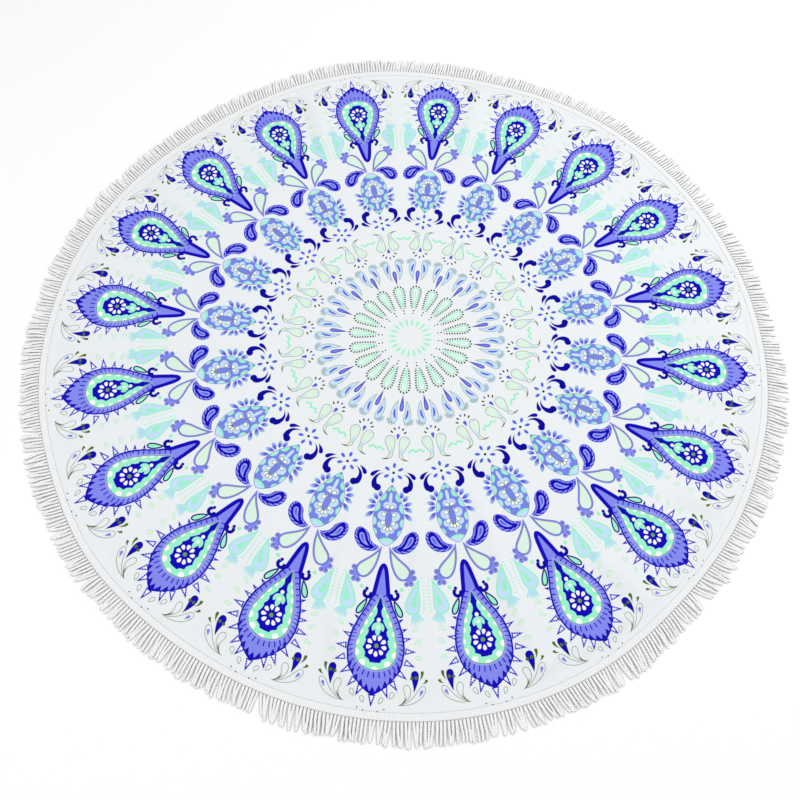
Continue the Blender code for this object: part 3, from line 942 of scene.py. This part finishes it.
columns = CORDS * STEPS_PER_LOOP
across_rows, up_rows = np.array(HEADING_ROWS).T
step_grid, across_grid = np.meshgrid(np.arange(columns), across_rows)
points = heading_points(step_grid, across_grid, up_rows[:, None])
quads = ring_faces(len(across_rows), columns)
here = np.arange(columns)
there = (here + 1) % columns
last = (len(across_rows) - 1) * columns
quads += np.stack([last + here, here, there, last + there], axis=-1).tolist()
corner = np.array(quads)
row_of, step_of = np.divmod(corner, columns)
step_of = np.where((step_of == 0) & (step_of.max(axis=1, keepdims=True) == columns - 1), columns, step_of)
run_uv = np.stack([across_rows[row_of] * HEADING_WIDTH, step_of / STEPS_PER_LOOP], axis=-1)
# The grooves between the heading's ribs are painted darker, as painted shade
laid_cord = twisted_white("laid white cord", 0.0, 1.0, 0.0004, "#C4C8CC", white="#F7F8F9")
heading = add_mesh("fringe_heading", points.reshape(-1, 3), quads, laid_cord, run_uv, "run")
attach(heading, "root")


# ------------------------------
# The cords: seven hundred short soft cotton cords, each two strands twisted together, hanging from the
# heading's loops. They lie on the floor as they fell, leaning together in locks and parting in places.

LOCKS = 300
CORD_LENGTH = 0.0365
CORD_RADIUS = 0.0026
CORD_FLATNESS = 0.65
CORD_SIDES = 6
CORD_ROWS = np.array([0, 0.13, 0.26, 0.39, 0.52, 0.65, 0.78, 0.90, 0.97, 1])
CORD_TAPER = np.array([1, 1, 1, 1, 1, 1, 1, 0.98, 0.80, 0.42])
CORD_TUCK = 0.0012
CORD_SAG = 0.86
CORD_LOBES = 0.12
CORD_TWIST = 9
LENGTH_UNEVENNESS = 0.10
LENGTH_KNOT_EVERY = 6
LEAN_WANDER = 0.009
LEAN_KNOT_EVERY = 12
LEAN_UNEVENNESS = 0.0010
LEAN_CHANCE = 0.0024
LEAN_CURL = 1.3
LEAN_TOGETHER = 0.2
CROSSING_HEIGHT = 0.0030
WAVE_WIDTHS = (0.0002, 0.0013)
WAVE_TURN = 5.5
LOWEST = 0.0001
CORD_SHIFT = 0.013
FRINGE_SEED = 7
CORD_SEED = 11

# Where the fringe parts, and how far each side's nearest lock swings away at its tip
PARTINGS = (
    (4, 0.004), (28.5, 0.007), (51, 0.004), (73.5, 0.006), (93, 0.006), (135, 0.004), (198.5, 0.006),
    (219.5, 0.004), (248, 0.008), (266, 0.005), (298, 0.006), (313, 0.008), (328.5, 0.009), (335, 0.004),
)
PARTING_REACH = 2.2


def wander(noise, every):
    """A value for each lock that eases from one random knot to the next, with a knot every few locks."""
    knots = np.array([noise.uniform(-1, 1) for _ in range(LOCKS // every)])
    knot, share = np.divmod(np.arange(LOCKS) / every, 1)
    here, there = knots[knot.astype(int) % len(knots)], knots[(knot.astype(int) + 1) % len(knots)]
    return here + (there - here) * share * share * (3 - 2 * share)


def parting_swing(angle):
    """How far a tip swings sideways, away from each parting and less the further along the fringe it is."""
    swings = ((swing, turn_from(angle, parting)) for parting, swing in PARTINGS)
    return sum(np.copysign(swing, turn) * np.exp(-np.abs(turn) / PARTING_REACH) for swing, turn in swings)


def cord_shapes():
    """Each cord's root angle, length and lean: its lock's own, with a little chance of the cord's."""
    noise = random.Random(FRINGE_SEED)
    leaning = wander(noise, LEAN_KNOT_EVERY)
    longer = wander(noise, LENGTH_KNOT_EVERY)
    chances = np.array([(noise.uniform(-0.7, 0.7), noise.uniform(-1, 1)) for _ in range(LOCKS)])
    lock = np.floor((np.arange(CORDS) + 0.5) / CORDS * LOCKS).astype(int)
    chance = np.random.default_rng(CORD_SEED)
    angle = (np.arange(CORDS) + 0.5) * 360 / CORDS
    uneven = longer[lock] + chances[lock, 0] + chance.uniform(-0.5, 0.5, CORDS)
    length = CORD_LENGTH * (1 + LENGTH_UNEVENNESS * uneven)
    lock_middle = (lock + 0.5) * 360 / LOCKS
    gathered = np.radians(lock_middle - angle) * CLOTH_RADIUS * LEAN_TOGETHER
    lean = LEAN_WANDER * leaning[lock] + LEAN_UNEVENNESS * chances[lock, 1] + parting_swing(angle) + gathered
    return angle, length, lean + chance.normal(0, LEAN_CHANCE, CORDS)


def cord_points(share, around, taper):
    """Tubes on soft lines: outward by the length, sideways by the lean with a slight wave, and a little up
    and down again, so that crossing cords lie over each other. The section has two lobes and turns."""
    angle, length, lean = (value[:, None, None] for value in cord_shapes())
    chance = np.random.default_rng(CORD_SEED + 1)
    ranges = (WAVE_WIDTHS, (0, 6), (0, 1))
    wave, start, rise = (chance.uniform(low, high, (CORDS, 1, 1)) for low, high in ranges)
    root = CLOTH_RADIUS + SEWING_GAP + HEADING_WIDTH - CORD_TUCK + rim_offset(angle)
    outward = share * np.sqrt(np.maximum(length**2 - lean**2, 1e-6)) + CORD_TUCK
    sideways = lean * share**LEAN_CURL + wave * share * np.sin(start + WAVE_TURN * share)
    lift = CORD_RADIUS * CORD_FLATNESS * CORD_SAG + rise**3 * CROSSING_HEIGHT * np.sin(share * math.pi) ** 1.5
    turn = around * math.tau + share * CORD_TWIST + start
    wide = CORD_RADIUS * taper * (1 + CORD_LOBES * np.cos(2 * turn))
    off_axis, above = wide * np.cos(around * math.tau), wide * CORD_FLATNESS * np.sin(around * math.tau)
    radius = root + outward
    x, y = placed(angle + np.degrees((sideways + off_axis) / radius), radius)
    return np.stack([x, y, np.maximum(lift + above, LOWEST)], axis=-1)


def tube_faces(tubes, rows, sides):
    """Quads round each tube from its root to its tip, and a face over each end."""
    tube, row, side = np.meshgrid(np.arange(tubes), np.arange(rows - 1), np.arange(sides), indexing="ij")
    here = (tube * rows + row) * sides
    beside = (side + 1) % sides
    quads = np.stack([here + side, here + beside, here + sides + beside, here + sides + side], axis=-1)
    quads = quads.reshape(-1, 4)
    ends = np.arange(tubes)[:, None] * rows * sides + np.arange(sides)
    return quads, ends[:, ::-1], ends + (rows - 1) * sides


rows = len(CORD_ROWS)
share_grid, around_grid = np.meshgrid(CORD_ROWS, np.arange(CORD_SIDES) / CORD_SIDES, indexing="ij")
points = cord_points(share_grid[None], around_grid[None], CORD_TAPER[None, :, None])
quads, roots, tips = tube_faces(CORDS, rows, CORD_SIDES)
side_of = np.tile(np.arange(CORD_SIDES), CORDS * (rows - 1))[:, None] + [0, 1, 1, 0]
cord_of, row_of = np.divmod(quads // CORD_SIDES, rows)
side_uv = np.stack([CORD_ROWS[row_of] * CORD_LENGTH + cord_of * CORD_SHIFT, side_of / CORD_SIDES], axis=-1)
cord_uv = np.concatenate([side_uv.reshape(-1, 2), np.zeros((2 * CORDS * CORD_SIDES, 2))])
cord_faces = quads.tolist() + roots.tolist() + tips.tolist()
# The cords carry painted shade: greyer grooves between strands, and dark brown-grey low on both sides
twisted_cord = twisted_white("twisted white cord", 110.0, 1.0, 0.0009, "#DEDEDD", "#5F5A54")
cords = add_mesh("fringe_cords", points.reshape(-1, 3), cord_faces, twisted_cord, cord_uv, "run")
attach(cords, "root")
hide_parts("fringe")
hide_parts("fringe")


# ------------------------------
# The stitching: two rows of white thread, one through the hem and one through the heading's sewn side.
# Each stitch is a short length of thread with its ends pulled down into the cloth.

STITCH_PITCH = 0.0046
STITCH_LENGTH = 0.0034
STITCH_RADIUS = 0.00032
STITCH_SINK = 0.0009
STITCH_SPAN = (0.12, 0.88)
STITCH_STEPS = 4
STITCH_SIDES = 4

# How far outside the cloth's edge each row runs, and how high
STITCH_ROWS = ((-0.0095, 0.0031), (0.0036, 0.0036))


def stitch_points(outside, height, share, around):
    """Short tubes along the rim, thickest in the middle and sunk at both ends."""
    count = round(math.tau * CLOTH_RADIUS / STITCH_PITCH)
    middle = np.arange(count)[:, None, None] * 360 / count
    angle = middle + np.degrees((share - 0.5) * STITCH_LENGTH / CLOTH_RADIUS)
    arch = np.sin(math.pi * (STITCH_SPAN[0] + (STITCH_SPAN[1] - STITCH_SPAN[0]) * share))
    radius = CLOTH_RADIUS + outside + rim_offset(angle) + STITCH_RADIUS * arch * np.cos(around * math.tau)
    x, y = placed(angle, radius)
    lift = height - STITCH_SINK * (1 - arch) + STITCH_RADIUS * arch * np.sin(around * math.tau)
    x, y, lift = np.broadcast_arrays(x, y, lift)
    return np.stack([x, y, lift], axis=-1)


steps, sides = np.linspace(0, 1, STITCH_STEPS), np.arange(STITCH_SIDES) / STITCH_SIDES
share_grid, around_grid = np.meshgrid(steps, sides, indexing="ij")
points = np.concatenate([stitch_points(*row, share_grid[None], around_grid[None]) for row in STITCH_ROWS])
quads, roots, tips = tube_faces(len(points), STITCH_STEPS, STITCH_SIDES)
stitch_faces = np.concatenate([quads, roots, tips])[:, ::-1]
uv = np.tile([[0, 0], [0, 0.25], [0.001, 0.25], [0.001, 0]], (len(stitch_faces), 1))
# The thread's grooves between its strands get a faint painted shade
thread = twisted_white("white sewing thread", 900.0, 2.0, 0.0001, "#F0F1F1")
stitching = add_mesh("stitching", points.reshape(-1, 3), stitch_faces.tolist(), thread, uv, "run")
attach(stitching, "root")

boxes = {"cad": cad_box, "visual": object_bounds()}
{name: [list(map(float, corner)) for corner in box] for name, box in boxes.items()}
